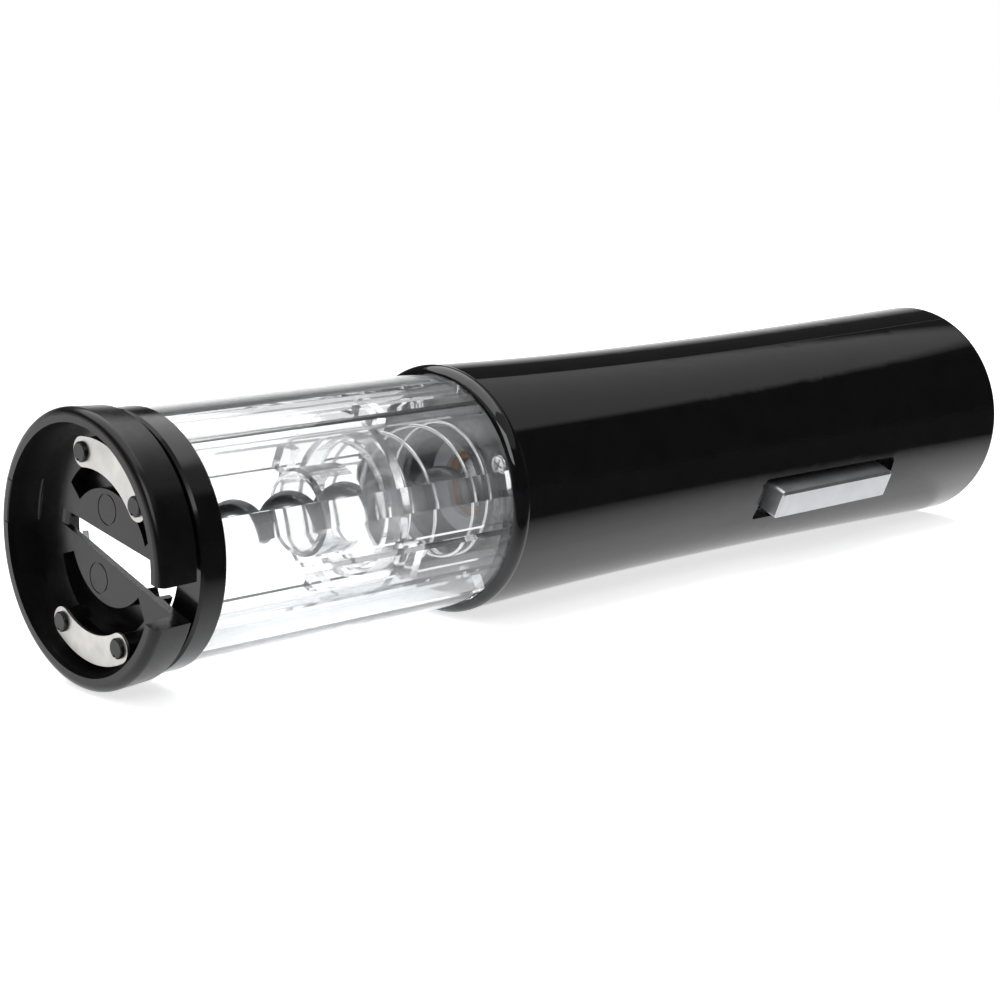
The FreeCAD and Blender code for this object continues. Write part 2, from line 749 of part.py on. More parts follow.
def gear_face(teeth, tip, root, turned_by, thin, x):
    """The face of an involute gear in the plane at x; a tooth's middle is at turned_by."""
    pitch_radius = size("gear_module") * teeth / 2
    pressure = math.radians(size("pressure_angle"))
    base = pitch_radius * math.cos(pressure)
    at_pitch = math.pi / (2 * teeth) - thin / (2 * pitch_radius)

    def half_angle(radius):
        if radius <= base:
            roll = 0.0
        else:
            roll = math.sqrt((radius / base) ** 2 - 1) - math.acos(base / radius)
        return math.degrees(at_pitch + math.tan(pressure) - pressure - roll)

    foot = max(root, base)
    stations = [foot + (tip - foot) * k / 4 for k in range(5)]
    edges = []
    step = 360.0 / teeth
    for k in range(teeth):
        middle = turned_by + k * step
        rising = [at_angle(x, radius, middle - half_angle(radius)) for radius in stations]
        falling = [at_angle(x, radius, middle + half_angle(radius)) for radius in stations]
        if root < base:
            edges.append(Part.makeLine(at_angle(x, root, middle - half_angle(root)), rising[0]))
        flank = Part.BSplineCurve()
        flank.interpolate(rising)
        edges.append(flank.toShape())
        edges.append(Part.Arc(rising[-1], at_angle(x, tip, middle), falling[-1]).toShape())
        flank = Part.BSplineCurve()
        flank.interpolate(falling[::-1])
        edges.append(flank.toShape())
        leaving = at_angle(x, root, middle + half_angle(root))
        if root < base:
            edges.append(Part.makeLine(falling[0], leaving))
        arriving = at_angle(x, root, middle + step - half_angle(root))
        edges.append(Part.Arc(leaving, at_angle(x, root, middle + step / 2), arriving).toShape())
    return Part.Face(Part.Wire(edges))


def gear(teeth, turned_by, start, end, addendum, dedendum, thin):
    pitch_radius = size("gear_module") * teeth / 2
    face = gear_face(teeth, pitch_radius + addendum, pitch_radius - dedendum, turned_by, thin,
                     start)
    return face.extrude(vec(end - start, 0, 0))


def small_gear(teeth, turned_by, start, end):
    return gear(teeth, turned_by, start, end, size("gear_addendum"), size("gear_dedendum"),
                size("gear_backlash") / 2)


def ring_gear_housing():
    """The fixed ring gear that both planet stages roll in, with its front wall."""
    front = size("housing_front")
    cavity = size("housing_cavity")
    rear = size("housing_rear")
    outer = rod(size("housing_radius"), front, rear)
    teeth = gear(int(size("ring_teeth")), 0.0, cavity, rear + 0.5,
                 size("gear_dedendum"), size("gear_addendum"), -size("gear_backlash") / 2)
    bore = rod(size("bush_radius") + 0.05, front - 1, cavity + 1)
    return shaped("ring_gear_housing", outer.cut(teeth).cut(bore), "button_clock")


ring_gear_housing()


def planet_turn(direction):
    """A planet's own turn so that a gap faces the sun and a tooth faces outwards."""
    return direction + 180 - 180 / size("planet_teeth")


def planets(stage, start, end):
    """Three planet gears, evenly round the sun."""
    for k, letter in enumerate("abc"):
        direction = 120 * k
        planet = small_gear(int(size("planet_teeth")), planet_turn(direction), start, end)
        planet = planet.cut(rod(size("planet_pin_radius") + size("fit_gap"), start - 1, end + 1))
        y, z = around(size("planet_centres"), direction)
        planet.translate(vec(0, y, z))
        shaped("%s_planet_%s" % (stage, letter), planet, "button_clock")


def planet_pins(label, start, end):
    """Three steel pins, pressed into a carrier."""
    pins = [rod(size("planet_pin_radius"), start, end, *around(size("planet_centres"), 120 * k))
            for k in range(3)]
    shaped(label, Part.makeCompound(pins), "button_clock")


def carrier(label, front, bore):
    """A carrier disc with three pin holes and a middle hole."""
    made = ring(label, front, "%s + 2.4" % front, bore, "dims.carrier_radius", "button_clock")
    doc.recompute()
    for k in range(3):
        rod_feature(made, "Subtractive", "%s_hole_%d" % (label, k + 1), "dims.planet_pin_radius",
                    ("%s - 1" % front, "%s + 4" % front),
                    "dims.planet_centres * cos(%d)" % (120 * k),
                    "dims.planet_centres * sin(%d)" % (120 * k))
    return made


planets("output", 103.6, 109.6)
planet_pins("output_planet_pins", size("output_carrier_front"), 110.1)
carrier("output_carrier", "dims.output_carrier_front", "3")

planets("middle", 113.4, 117.8)
planet_pins("middle_planet_pins", size("middle_carrier_front"), 118.4)
carrier("middle_carrier", "dims.middle_carrier_front", "1.6")


def middle_sun():
    """The sun gear of the output stage, pressed into the middle carrier."""
    rear = size("middle_carrier_front")
    teeth = small_gear(int(size("sun_teeth")), 0.0, 103.4, rear)
    return shaped("middle_sun", teeth.fuse(rod(1.6, rear, rear + 2.4)), "button_clock")


def motor_pinion():
    """The sun gear of the first stage, pressed onto the motor's shaft."""
    teeth = small_gear(int(size("sun_teeth")), 0.0, 113.2, 118.4)
    return shaped("motor_pinion", teeth.cut(rod(size("motor_shaft_radius"), 112, 119)),
                  "button_clock")


middle_sun()
motor_pinion()

ring("gearbox_rear_plate", "dims.housing_rear", "dims.motor_front - 0.05", "5.1",
     "dims.housing_radius", "button_clock")


# ---------------------------------------------------------------- motor

turned("motor_can", [
    ("dims.motor_front - 1.8", "dims.motor_shaft_radius + dims.fit_gap"),
    ("dims.motor_front + 0.8", "dims.motor_shaft_radius + dims.fit_gap"),
    ("dims.motor_front + 0.8", "dims.motor_radius - 0.8"),
    ("dims.motor_rear", "dims.motor_radius - 0.8"),
    ("dims.motor_rear", "dims.motor_radius"),
    ("dims.motor_front", "dims.motor_radius"),
    ("dims.motor_front", "5"),
    ("dims.motor_front - 1.8", "5"),
], "button_clock")

turned("motor_end_bell", [
    ("dims.motor_rear - 1", "dims.motor_radius - 2"),
    ("dims.motor_rear", "dims.motor_radius - 2"),
    ("dims.motor_rear", "dims.motor_shaft_radius + dims.fit_gap"),
    ("dims.motor_rear + 3.4", "dims.motor_shaft_radius + dims.fit_gap"),
    ("dims.motor_rear + 3.4", "3.5"),
    ("dims.motor_rear + 2.2", "4.2"),
    ("dims.motor_rear + 2.2", "dims.motor_radius - 0.6"),
    ("dims.motor_rear + 0.02", "dims.motor_radius - 0.4"),
    ("dims.motor_rear + 0.02", "dims.motor_radius - 0.85"),
    ("dims.motor_rear - 1", "dims.motor_radius - 0.85"),
], "button_clock")

motor_front = size("motor_front")
motor_rear = size("motor_rear")
shaped("motor_magnets", Part.makeCompound([
    sector(11.2, size("motor_radius") - 0.85, middle - 68, middle + 68,
           motor_front + 4, motor_rear - 9) for middle in (0, 180)]), "button_clock")


def armature():
    """The rotor's iron: three broad poles on a core."""
    core = rod(4.0, motor_front + 5, motor_rear - 11)
    poles = [sector(7.6, 10.6, 120 * k - 48, 120 * k + 48, motor_front + 5, motor_rear - 11)
             for k in range(3)]
    necks = []
    for k in range(3):
        neck = brick((motor_front + 5, motor_rear - 11), (0, 8.5), (-1.8, 1.8))
        neck.rotate(ORIGIN, X_AXIS, 120 * k)
        necks.append(neck)
    iron = fused([core] + poles + necks)
    return shaped("motor_armature", iron.cut(rod(size("motor_shaft_radius"), 120, 160)),
                  "button_clock")


def windings():
    """One closed coil of copper wire round each pole's neck."""
    coils = []
    for k in range(3):
        outer = brick((motor_front + 3.4, motor_rear - 9.4), (4.4, 6.2), (-4.0, 4.0))
        hole = brick((motor_front + 4.9, motor_rear - 10.9), (4, 8), (-1.9, 1.9))
        coil = outer.cut(hole)
        coil.rotate(ORIGIN, X_AXIS, 120 * k)
        coils.append(coil)
    return shaped("motor_windings", Part.makeCompound(coils), "button_clock")


armature()
windings()
turned("motor_shaft", [
    ("113.2", "0"),
    ("113.2", "dims.motor_shaft_radius"),
    ("dims.motor_rear + 4.4", "dims.motor_shaft_radius"),
    ("dims.motor_rear + 4.4", "0"),
], "button_clock")
ring("motor_commutator", "dims.motor_rear - 8", "dims.motor_rear - 2",
     "dims.motor_shaft_radius", "3", "button_clock")
shaped("motor_brushes", Part.makeCompound([
    brick((motor_rear - 6.5, motor_rear - 0.05), (min(near, far), max(near, far)), (-1.5, 1.5))
    for near, far in ((3.3, 5.8), (-3.3, -5.8))]), "button_clock")
shaped("motor_terminals", Part.makeCompound([
    brick((motor_rear + 2.2, motor_rear + 6.4), (y - 0.25, y + 0.25), (-1.4, 1.4))
    for y in (9.0, -9.0)]), "button_clock")


# ---------------------------------------------------------------- battery pack

def tray_shape():
    """The battery tray as one shape, its corners rounded to clear the handle's wall."""
    front = size("tray_front")
    rear = front + size("tray_length")
    width = size("tray_half_width")
    top = size("tray_top")
    wall = size("tray_wall")
    tray = brick((front, rear), (-width, width), (-12, top))
    tray = tray.cut(brick((front + wall, rear - wall), (1 - width, width - 1), (-13, top - 0.8)))
    return tray.common(rod(21.3, front - 1, rear + 1))


shaped("battery_tray", tray_shape(), "button_clock")


def cell_places():
    """Y, Z and direction of each cell; a cell's button end faces the rear where it is +1."""
    offset = size("cell_spacing")
    return [(offset, offset, 1), (-offset, offset, -1), (-offset, -offset, 1),
            (offset, -offset, -1)]


inner_front = size("tray_front") + size("tray_wall")
inner_rear = size("tray_front") + size("tray_length") - size("tray_wall")
contact_thickness = 0.3
nub_length = 1.0
for index, (y, z, facing) in enumerate(cell_places(), start=1):
    cell_length = size("cell_length")
    if facing > 0:
        nub_end = inner_rear - contact_thickness
        can = rod(size("cell_radius"), nub_end - nub_length - cell_length, nub_end - nub_length,
                  y, z)
        nub = rod(2.7, nub_end - nub_length, nub_end, y, z)
    else:
        nub_end = inner_front + contact_thickness
        can = rod(size("cell_radius"), nub_end + nub_length, nub_end + nub_length + cell_length,
                  y, z)
        nub = rod(2.7, nub_end, nub_end + nub_length, y, z)
    shaped("battery_cell_%d" % index, can.fuse(nub), "button_clock")


def contact_springs():
    """A small coil spring behind the flat end of each cell."""
    wire = 0.6
    coil_radius = 3.2
    turns = 2.5
    per_turn = 10
    length = inner_rear - inner_front - contact_thickness - nub_length - size("cell_length")
    travel = length - wire - 0.04
    coils = []
    for y, z, facing in cell_places():
        begin = (inner_front if facing > 0 else inner_rear - length) + wire / 2 + 0.02
        count = int(turns * per_turn)
        points = [at_angle(begin + travel * k / count, coil_radius, 360.0 * k / per_turn)
                  + vec(0, y, z) for k in range(count + 1)]
        coils.append(coiled_wire(points, wire))
    shaped("contact_springs", Part.makeCompound(coils), "button_clock")


contact_springs()
shaped("contact_plates", Part.makeCompound([
    brick((inner_rear - contact_thickness, inner_rear), (y - 4, y + 4), (z - 4, z + 4))
    if facing > 0 else
    brick((inner_front, inner_front + contact_thickness), (y - 4, y + 4), (z - 4, z + 4))
    for y, z, facing in cell_places()]), "button_clock")


# ---------------------------------------------------------------- handle shells

def handle_curve(inset):
    """The handle's outer line, or one set in by the wall, from the rim to the rear."""
    stations = [("handle_rim", "handle_rim_radius"), ("handle_waist", "handle_waist_radius"),
                ("handle_flare", "handle_flare_radius")]
    points = [vec(size(x), size(radius) - inset, 0) for x, radius in stations]
    rear = size("overall_length") - size("handle_rounding")
    points.append(vec(rear, size("handle_rear_radius") - inset, 0))
    curve = Part.BSplineCurve()
    curve.interpolate(points)
    return curve, points


def half_turned(edges):
    """Turn a closed profile through half a circle about X, from +Y over +Z."""
    return Part.Face(Part.Wire(edges)).revolve(ORIGIN, X_AXIS, 180)


def shell_half():
    """One half of the handle: outer skin, end wall, and the seat for the tube."""
    curve, points = handle_curve(0.0)
    inner_curve, inner_points = handle_curve(size("handle_wall"))
    length = size("overall_length")
    rounding = size("handle_rounding")
    mouth = size("handle_mouth_radius")
    seat_end = size("tube_rear") + 3.0
    wall_end = vec(length - size("handle_wall"), inner_points[-1].y, 0)
    inner_start = inner_curve.parameter(vec(seat_end, inner_points[0].y, 0))
    inner_end = inner_curve.parameter(wall_end)
    inner_edge = Part.Edge(inner_curve, inner_start, inner_end)
    seat_point = inner_curve.value(inner_start)
    end_point = inner_curve.value(inner_end)
    corner = vec(length - rounding * (1 - math.sqrt(0.5)),
                 points[-1].y - rounding * (1 - math.sqrt(0.5)), 0)
    bend = Part.Arc(points[-1], corner, vec(length, points[-1].y - rounding, 0))
    line = Part.makeLine
    front = vec(size("handle_front"), mouth, 0)
    swell = (front + points[0]) * 0.5 + vec(-0.45, 0.55, 0)
    edges = [
        Part.Arc(front, swell, points[0]).toShape(),
        curve.toShape(),
        bend.toShape(),
        line(vec(length, points[-1].y - rounding, 0), vec(length, 0, 0)),
        line(vec(length, 0, 0), vec(end_point.x, 0, 0)),
        line(vec(end_point.x, 0, 0), end_point),
        inner_edge,
        line(seat_point, vec(seat_point.x, mouth, 0)),
        line(vec(seat_point.x, mouth, 0), front),
    ]
    return half_turned(edges)


def envelope_half():
    """The solid inside of the handle's half, used to trim ribs and bosses to the wall."""
    curve, points = handle_curve(1.0)
    line = Part.makeLine
    edges = [curve.toShape(),
             line(points[-1], vec(points[-1].x, 0, 0)),
             line(vec(points[-1].x, 0, 0), vec(points[0].x, 0, 0)),
             line(vec(points[0].x, 0, 0), points[0])]
    return half_turned(edges)


def shell_ribs(envelope):
    """Half rings that cradle the gearbox, the motor and the battery tray."""
    thickness = 1.2
    ribs = []
    for x, inner in ((104.0, 18.1), (115.0, 18.1), (127.0, 14.0), (142.0, 14.0),
                     (171.1, 20.6), (229.8, 20.6)):
        ribs.append(pipe(30.0, inner, x, x + thickness).common(envelope))
    return ribs


SCREW_STATIONS = (150.0, 238.0)


def front_shell():
    """The handle half that carries the button."""
    envelope = envelope_half()
    additions = shell_ribs(envelope)
    boss = size("boss_offset")
    for x in SCREW_STATIONS:
        for y in (boss, -boss):
            additions.append(Part.makeCylinder(3.0, 24, vec(x, y, 0), Z_AXIS).common(envelope))
    centre = size("button_centre")
    half_length = size("pocket_length") / 2
    half_width = size("pocket_width") / 2
    floor = size("pocket_floor")
    pad = brick((centre - half_length - 2, centre + half_length + 2),
                (-half_width - 2, half_width + 2), (floor - 1.4, floor + 2))
    additions.append(pad.common(envelope))
    inner = size("button_width") / 2 + 0.35
    for low, high in ((inner, inner + 2.5), (-inner - 2.5, -inner)):
        additions.append(brick((centre - 2.5, centre + 2.5), (low, high), (19.3, floor - 0.5)))
    shell = fused([shell_half()] + additions)
    pocket = brick((centre - half_length, centre + half_length), (-half_width, half_width),
                   (floor, floor + 8))
    corners = [edge for edge in pocket.Edges if edge.BoundBox.ZLength > 7]
    shell = shell.cut(pocket.makeFillet(1.2, corners))
    half_button = size("button_length") / 2 + 0.7
    shell = shell.cut(brick((centre - half_button, centre + half_button), (-inner, inner),
                            (18, floor + 1)))
    pin = Part.makeCylinder(size("pivot_radius"), 12, vec(centre, -6, size("pivot_height")),
                            Y_AXIS)
    shell = shell.cut(pin)
    for x in SCREW_STATIONS:
        for y in (boss, -boss):
            shell = shell.cut(Part.makeCylinder(1.12, 9, vec(x, y, -1), Z_AXIS))
    return shaped("front_shell", shell, "button_clock")


def door_prism(shrink, low):
    """The upright block that cuts the battery door's opening out of the back shell."""
    half_width = size("door_half_width") - shrink
    block_shape = brick((size("door_front") + shrink, size("door_rear") - shrink),
                        (-half_width, half_width), (-30, low))
    corners = [edge for edge in block_shape.Edges if edge.BoundBox.ZLength > 15]
    return block_shape.makeFillet(3.0 - shrink, corners)


def lower(shape):
    """Turn a half made above the seam to the other side of it."""
    moved = shape.copy()
    moved.rotate(ORIGIN, X_AXIS, 180)
    return moved


def back_shell():
    """The handle half away from the button, with the battery door's opening and screw wells."""
    envelope = lower(envelope_half())
    skin = lower(shell_half())
    boss = size("boss_offset")
    additions = [lower(rib) for rib in shell_ribs(envelope_half())]
    for x in SCREW_STATIONS:
        for y in (boss, -boss):
            post = Part.makeCylinder(3.4, 24, vec(x, y, -24), Z_AXIS)
            additions.append(post.common(envelope))
    ledge_wall = 1.6
    ledge = door_prism(-ledge_wall, -12).common(envelope)
    ledge = ledge.cut(lower(half_core()))
    additions.append(ledge)
    shell = fused([skin] + additions)
    shell = shell.cut(door_prism(ledge_wall, -5))
    outer_layer = door_prism(0.0, -12).cut(lower(half_core(1.15)))
    shell = shell.cut(outer_layer)
    for x in SCREW_STATIONS:
        for y in (boss, -boss):
            shell = shell.cut(Part.makeCylinder(2.4, 24, vec(x, y, -30), Z_AXIS))
            shell = shell.cut(Part.makeCylinder(1.25, 8, vec(x, y, -7), Z_AXIS))
    return shaped("back_shell", shell, "button_clock")


def half_core(lift=0.0):
    """The handle's inner space, its radius grown by lift, as a solid half."""
    curve, points = handle_curve(size("handle_wall") + 1.0 - lift)
    line = Part.makeLine
    edges = [curve.toShape(),
             line(points[-1], vec(points[-1].x, 0, 0)),
             line(vec(points[-1].x, 0, 0), vec(points[0].x, 0, 0)),
             line(vec(points[0].x, 0, 0), points[0])]
    return half_turned(edges)


def battery_door():
    """The curved door over the cells, cut from the handle's own skin."""
    gap = size("door_gap")
    skin = lower(shell_half())
    door = skin.common(door_prism(gap, -12))
    door = door.cut(lower(half_core(1.3)))
    groove_x = size("door_front") + 5
    for k in range(3):
        groove = brick((groove_x + 2.2 * k, groove_x + 2.2 * k + 0.9), (-7, 7), (-30, -24.15))
        door = door.cut(groove)
    return shaped("battery_door", door, "button_clock")


front_shell()
back_shell()
battery_door()


def shell_screw(x, y):
    """A screw along Z whose head sits at the bottom of the back shell's well."""
    head = Part.makeCylinder(2.0, 1.6, vec(x, y, -7.65), Z_AXIS)
    rim = [edge for edge in head.Edges if edge.BoundBox.ZMax < -7.5]
    head = head.makeFillet(0.5, rim)
    shank = Part.makeCylinder(1.1, 13.6, vec(x, y, -6.05), Z_AXIS)
    for half_x, half_y in ((1.1, 0.22), (0.22, 1.1)):
        head = head.cut(brick((x - half_x, x + half_x), (y - half_y, y + half_y), (-9, -7.0)))
    return head.fuse(shank)


shaped("shell_screws", Part.makeCompound([
    shell_screw(x, y) for x in SCREW_STATIONS
    for y in (size("boss_offset"), -size("boss_offset"))]), "button_clock")


# ---------------------------------------------------------------- button and switches

def rocker_button():
    """The long rocker: bevelled cap, body and a nib over each switch."""
    centre = size("button_centre")
    half_length = size("button_length") / 2
    half_width = size("button_width") / 2
    top = size("button_top")
    bottom = size("button_bottom")
    cap = brick((centre - half_length, centre + half_length), (-half_width, half_width),
                (bottom, top))
    upright = [edge for edge in cap.Edges if edge.BoundBox.ZLength > 5]
    cap = cap.makeFillet(0.8, upright)
    rim = [edge for edge in cap.Edges if edge.BoundBox.ZMin > top - 0.01]
    cap = cap.makeChamfer(0.55, rim)
    nibs = [Part.makeCylinder(1.2, bottom - 20.25 + 0.3,
                              vec(centre + side * size("switch_offset"), 0, 20.25), Z_AXIS)
            for side in (-1, 1)]
    knuckle = Part.makeCylinder(1.7, 2 * half_width - 0.6,
                                vec(centre, 0.3 - half_width, size("pivot_height")), Y_AXIS)
    whole = fused([cap, knuckle] + nibs)
    pin = Part.makeCylinder(size("pivot_radius") + size("fit_gap"), 12,
                            vec(centre, -6, size("pivot_height")), Y_AXIS)
    return shaped("rocker_button", whole.cut(pin), "button_clock")


rocker_button()
shaped("button_pivot_pin", Part.makeCylinder(
    size("pivot_radius"), 10.8, vec(size("button_centre"), -5.4, size("pivot_height")), Y_AXIS),
    "button_clock")

switch_board = body("switch_board", "button_clock")
block(switch_board, "Additive", "board_blank", ("158", "208"), ("-8", "8"),
      ("dims.board_bottom", "dims.board_top"))

for place, side in (("front", "-"), ("rear", "+")):
    middle = "dims.button_centre %s dims.switch_offset" % side
    case = body("switch_case_" + place, "button_clock")
    block(case, "Additive", place + "_case", (middle + " - 3", middle + " + 3"), ("-3", "3"),
          ("dims.board_top", "dims.switch_top"))
    doc.recompute()
    post_feature(case, "Subtractive", place + "_well", "1.75", middle, "0",
                 ("dims.switch_top - 1", "dims.switch_top + 1"))
    plunger = body("switch_plunger_" + place, "button_clock")
    post_feature(plunger, "Additive", place + "_plunger", "1.7", middle, "0",
                 ("dims.switch_top - 0.6", "dims.plunger_top"))


# ---------------------------------------------------------------- wires

def wire_route(corners, radius):
    """A round wire: straight runs joined by tangent arcs as large as the runs allow."""
    edges = []
    start = corners[0]
    for k in range(1, len(corners) - 1):
        before = corners[k - 1] - corners[k]
        after = corners[k + 1] - corners[k]
        trim = 0.45 * min(before.Length, after.Length)
        into = corners[k] + before.normalize() * trim
        out = corners[k] + after.normalize() * trim
        turn_angle = math.pi - before.getAngle(after)
        bend_radius = trim / math.tan(turn_angle / 2)
        toward = (before + after).normalize()
        centre = corners[k] + toward * math.hypot(trim, bend_radius)
        middle = centre - toward * bend_radius
        edges.append(Part.makeLine(start, into))
        edges.append(Part.Arc(into, middle, out).toShape())
        start = out
    edges.append(Part.makeLine(start, corners[-1]))
    spine = Part.Wire(edges)
    section = Part.Wire([Part.makeCircle(radius, corners[0], corners[1] - corners[0])])
    return spine.makePipeShell([section], True, False)


def leads(label, routes):
    shaped(label, Part.makeCompound([
        wire_route([vec(x, side * y, z) for x, y, z in route], 0.6)
        for route in routes for side in (1, -1)]), "button_clock")


leads("motor_leads", [[(motor_rear + 5.0, 9.9, 0.0), (motor_rear + 5.0, 9.9, 8.0),
                       (motor_rear + 3.6, 6.5, 12.0), (motor_rear + 3.6, 6.5, 15.6)]])
leads("battery_leads", [[(171.85, 10.0, 7.3), (169.0, 10.0, 7.3), (166.4, 7.0, 11.0),
                         (166.4, 6.5, 15.6)]])


# ---------------------------------------------------------------- check and write

doc.recompute()
for made in doc.Objects:
    if "Invalid" in made.State or "Error" in made.State:
        raise RuntimeError("%s did not compute: %s" % (made.Label, made.State))
os.makedirs("parts", exist_ok=True)
for made in PIECES:
    shape = made.Shape
    if shape.isNull() or not shape.isValid() or not shape.Solids:
        raise RuntimeError("%s has no valid solid" % made.Label)
    shape.exportStep("parts/%s.step" % made.Label)
    print("%-24s %2d solid(s) %10.1f mm3" % (made.Label, len(shape.Solids), shape.Volume))
print(len(PIECES), "pieces")
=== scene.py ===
import math

import bmesh
import bpy
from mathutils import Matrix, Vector
from mathutils.bvhtree import BVHTree


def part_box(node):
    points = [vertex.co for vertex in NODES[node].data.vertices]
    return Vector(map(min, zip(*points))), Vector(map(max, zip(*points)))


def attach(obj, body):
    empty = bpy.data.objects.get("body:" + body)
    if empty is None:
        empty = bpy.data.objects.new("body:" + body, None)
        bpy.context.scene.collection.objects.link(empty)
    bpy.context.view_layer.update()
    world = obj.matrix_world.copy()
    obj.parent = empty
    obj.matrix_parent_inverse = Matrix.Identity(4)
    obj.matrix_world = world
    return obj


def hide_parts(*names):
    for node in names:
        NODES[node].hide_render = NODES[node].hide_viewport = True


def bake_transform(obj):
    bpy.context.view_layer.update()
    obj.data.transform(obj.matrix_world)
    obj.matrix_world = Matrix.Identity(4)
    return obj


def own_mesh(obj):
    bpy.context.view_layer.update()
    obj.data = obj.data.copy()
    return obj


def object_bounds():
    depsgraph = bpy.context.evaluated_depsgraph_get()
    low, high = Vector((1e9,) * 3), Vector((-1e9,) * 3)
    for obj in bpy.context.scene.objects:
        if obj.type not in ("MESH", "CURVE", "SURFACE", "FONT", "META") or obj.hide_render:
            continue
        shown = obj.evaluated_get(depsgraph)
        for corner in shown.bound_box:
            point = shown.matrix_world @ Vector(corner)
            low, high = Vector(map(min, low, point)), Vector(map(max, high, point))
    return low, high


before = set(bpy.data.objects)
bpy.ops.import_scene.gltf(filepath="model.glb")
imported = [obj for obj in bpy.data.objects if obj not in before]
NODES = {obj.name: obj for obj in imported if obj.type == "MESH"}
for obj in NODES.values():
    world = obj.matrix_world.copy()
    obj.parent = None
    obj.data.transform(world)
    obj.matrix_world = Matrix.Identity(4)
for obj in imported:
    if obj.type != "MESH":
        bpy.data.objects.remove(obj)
CAD_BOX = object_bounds()
SCENE = bpy.context.scene
MM = 0.001

# ---------------------------------------------------------------- finishes


def linked(tree, kind, **sockets):
    """A node whose named inputs are set to a value or joined to another node's output."""
    node = tree.nodes.new(kind)
    for name, value in sockets.items():
        socket = node.inputs[name.replace("_", " ")]
        if isinstance(value, bpy.types.NodeSocket):
            tree.links.new(value, socket)
        else:
            socket.default_value = value
    return node


def empty_material(name):
    material = bpy.data.materials.new(name)
    material.use_nodes = True
    material.node_tree.nodes.clear()
    return material, material.node_tree


def scaled(tree, vector, amounts):
    node = tree.nodes.new("ShaderNodeVectorMath")
    node.operation = "MULTIPLY"
    tree.links.new(vector, node.inputs[0])
    node.inputs[1].default_value = amounts
    return node.outputs[0]


def noise(tree, vector, scale, detail=3.0, roughness=0.55):
    return linked(tree, "ShaderNodeTexNoise", Vector=vector, Scale=scale, Detail=detail,
                  Roughness=roughness).outputs["Fac"]


def remap(tree, value, low, high, start=0.3, end=0.7):
    return linked(tree, "ShaderNodeMapRange", Value=value, From_Min=start, From_Max=end,
                  To_Min=low, To_Max=high).outputs["Result"]


def blended(tree, factor, first, second):
    mix = tree.nodes.new("ShaderNodeMix")
    mix.data_type = "RGBA"
    tree.links.new(factor, mix.inputs["Factor"])
    for socket, colour in ((mix.inputs[6], first), (mix.inputs[7], second)):
        socket.default_value = (*colour, 1.0)
    return mix.outputs[2]


def finish(name, colour, other, rough, swing=0.04, metal=0.0, patch=180.0, grain=1500.0,
           relief=0.02, depth=0.02, drawn=(1.0, 1.0, 1.0), coat=0.0, ior=1.5, sheen=0.0):
    """An opaque finish: two close colours in patches, an uneven roughness and a fine grain."""
    material, tree = empty_material(name)
    place = scaled(tree, tree.nodes.new("ShaderNodeTexCoord").outputs["Object"], drawn)
    patches = noise(tree, place, patch)
    grains = noise(tree, place, grain, detail=4.0)
    bump = linked(tree, "ShaderNodeBump", Strength=relief, Distance=depth * MM, Height=grains)
    shader = linked(
        tree, "ShaderNodeBsdfPrincipled",
        Base_Color=blended(tree, remap(tree, patches, 0.0, 1.0), colour, other),
        Roughness=remap(tree, noise(tree, place, patch * 2.7), rough - swing, rough + swing),
        Metallic=metal, IOR=ior, Normal=bump.outputs["Normal"])
    shader.inputs["Coat Weight"].default_value = coat
    shader.inputs["Coat Roughness"].default_value = 0.05
    shader.inputs["Sheen Weight"].default_value = sheen
    output = tree.nodes.new("ShaderNodeOutputMaterial")
    tree.links.new(shader.outputs[0], output.inputs["Surface"])
    return material


def clear(name, tint, rough, haze, streaks):
    """Clear moulded plastic with faint flow streaks and a haze. It lets lamps through."""
    material, tree = empty_material(name)
    place = scaled(tree, tree.nodes.new("ShaderNodeTexCoord").outputs["Object"], streaks)
    flow = noise(tree, place, 150.0, detail=2.0)
    bands = remap(tree, noise(tree, place, 90.0, detail=1.0), 0.0, haze, 0.45, 0.70)
    bump = linked(tree, "ShaderNodeBump", Strength=0.10, Distance=0.12 * MM, Height=flow)
    shader = linked(
        tree, "ShaderNodeBsdfPrincipled",
        Base_Color=blended(tree, flow, tint, (0.985, 0.988, 0.99)),
        Roughness=remap(tree, flow, 0.0, rough), IOR=1.46,
        Normal=bump.outputs["Normal"])
    shader.inputs["Transmission Weight"].default_value = 1.0
    milky = linked(tree, "ShaderNodeBsdfTranslucent",
                   Color=blended(tree, flow, (0.66, 0.67, 0.68), (0.80, 0.81, 0.82)))
    cloudy = tree.nodes.new("ShaderNodeMixShader")
    tree.links.new(bands, cloudy.inputs[0])
    tree.links.new(shader.outputs[0], cloudy.inputs[1])
    tree.links.new(milky.outputs[0], cloudy.inputs[2])
    lets_through = linked(tree, "ShaderNodeBsdfTransparent", Color=(0.93, 0.94, 0.95, 1.0))
    is_shadow = tree.nodes.new("ShaderNodeLightPath").outputs["Is Shadow Ray"]
    mix = tree.nodes.new("ShaderNodeMixShader")
    tree.links.new(is_shadow, mix.inputs[0])
    tree.links.new(cloudy.outputs[0], mix.inputs[1])
    tree.links.new(lets_through.outputs[0], mix.inputs[2])
    output = tree.nodes.new("ShaderNodeOutputMaterial")
    tree.links.new(mix.outputs[0], output.inputs["Surface"])
    return material


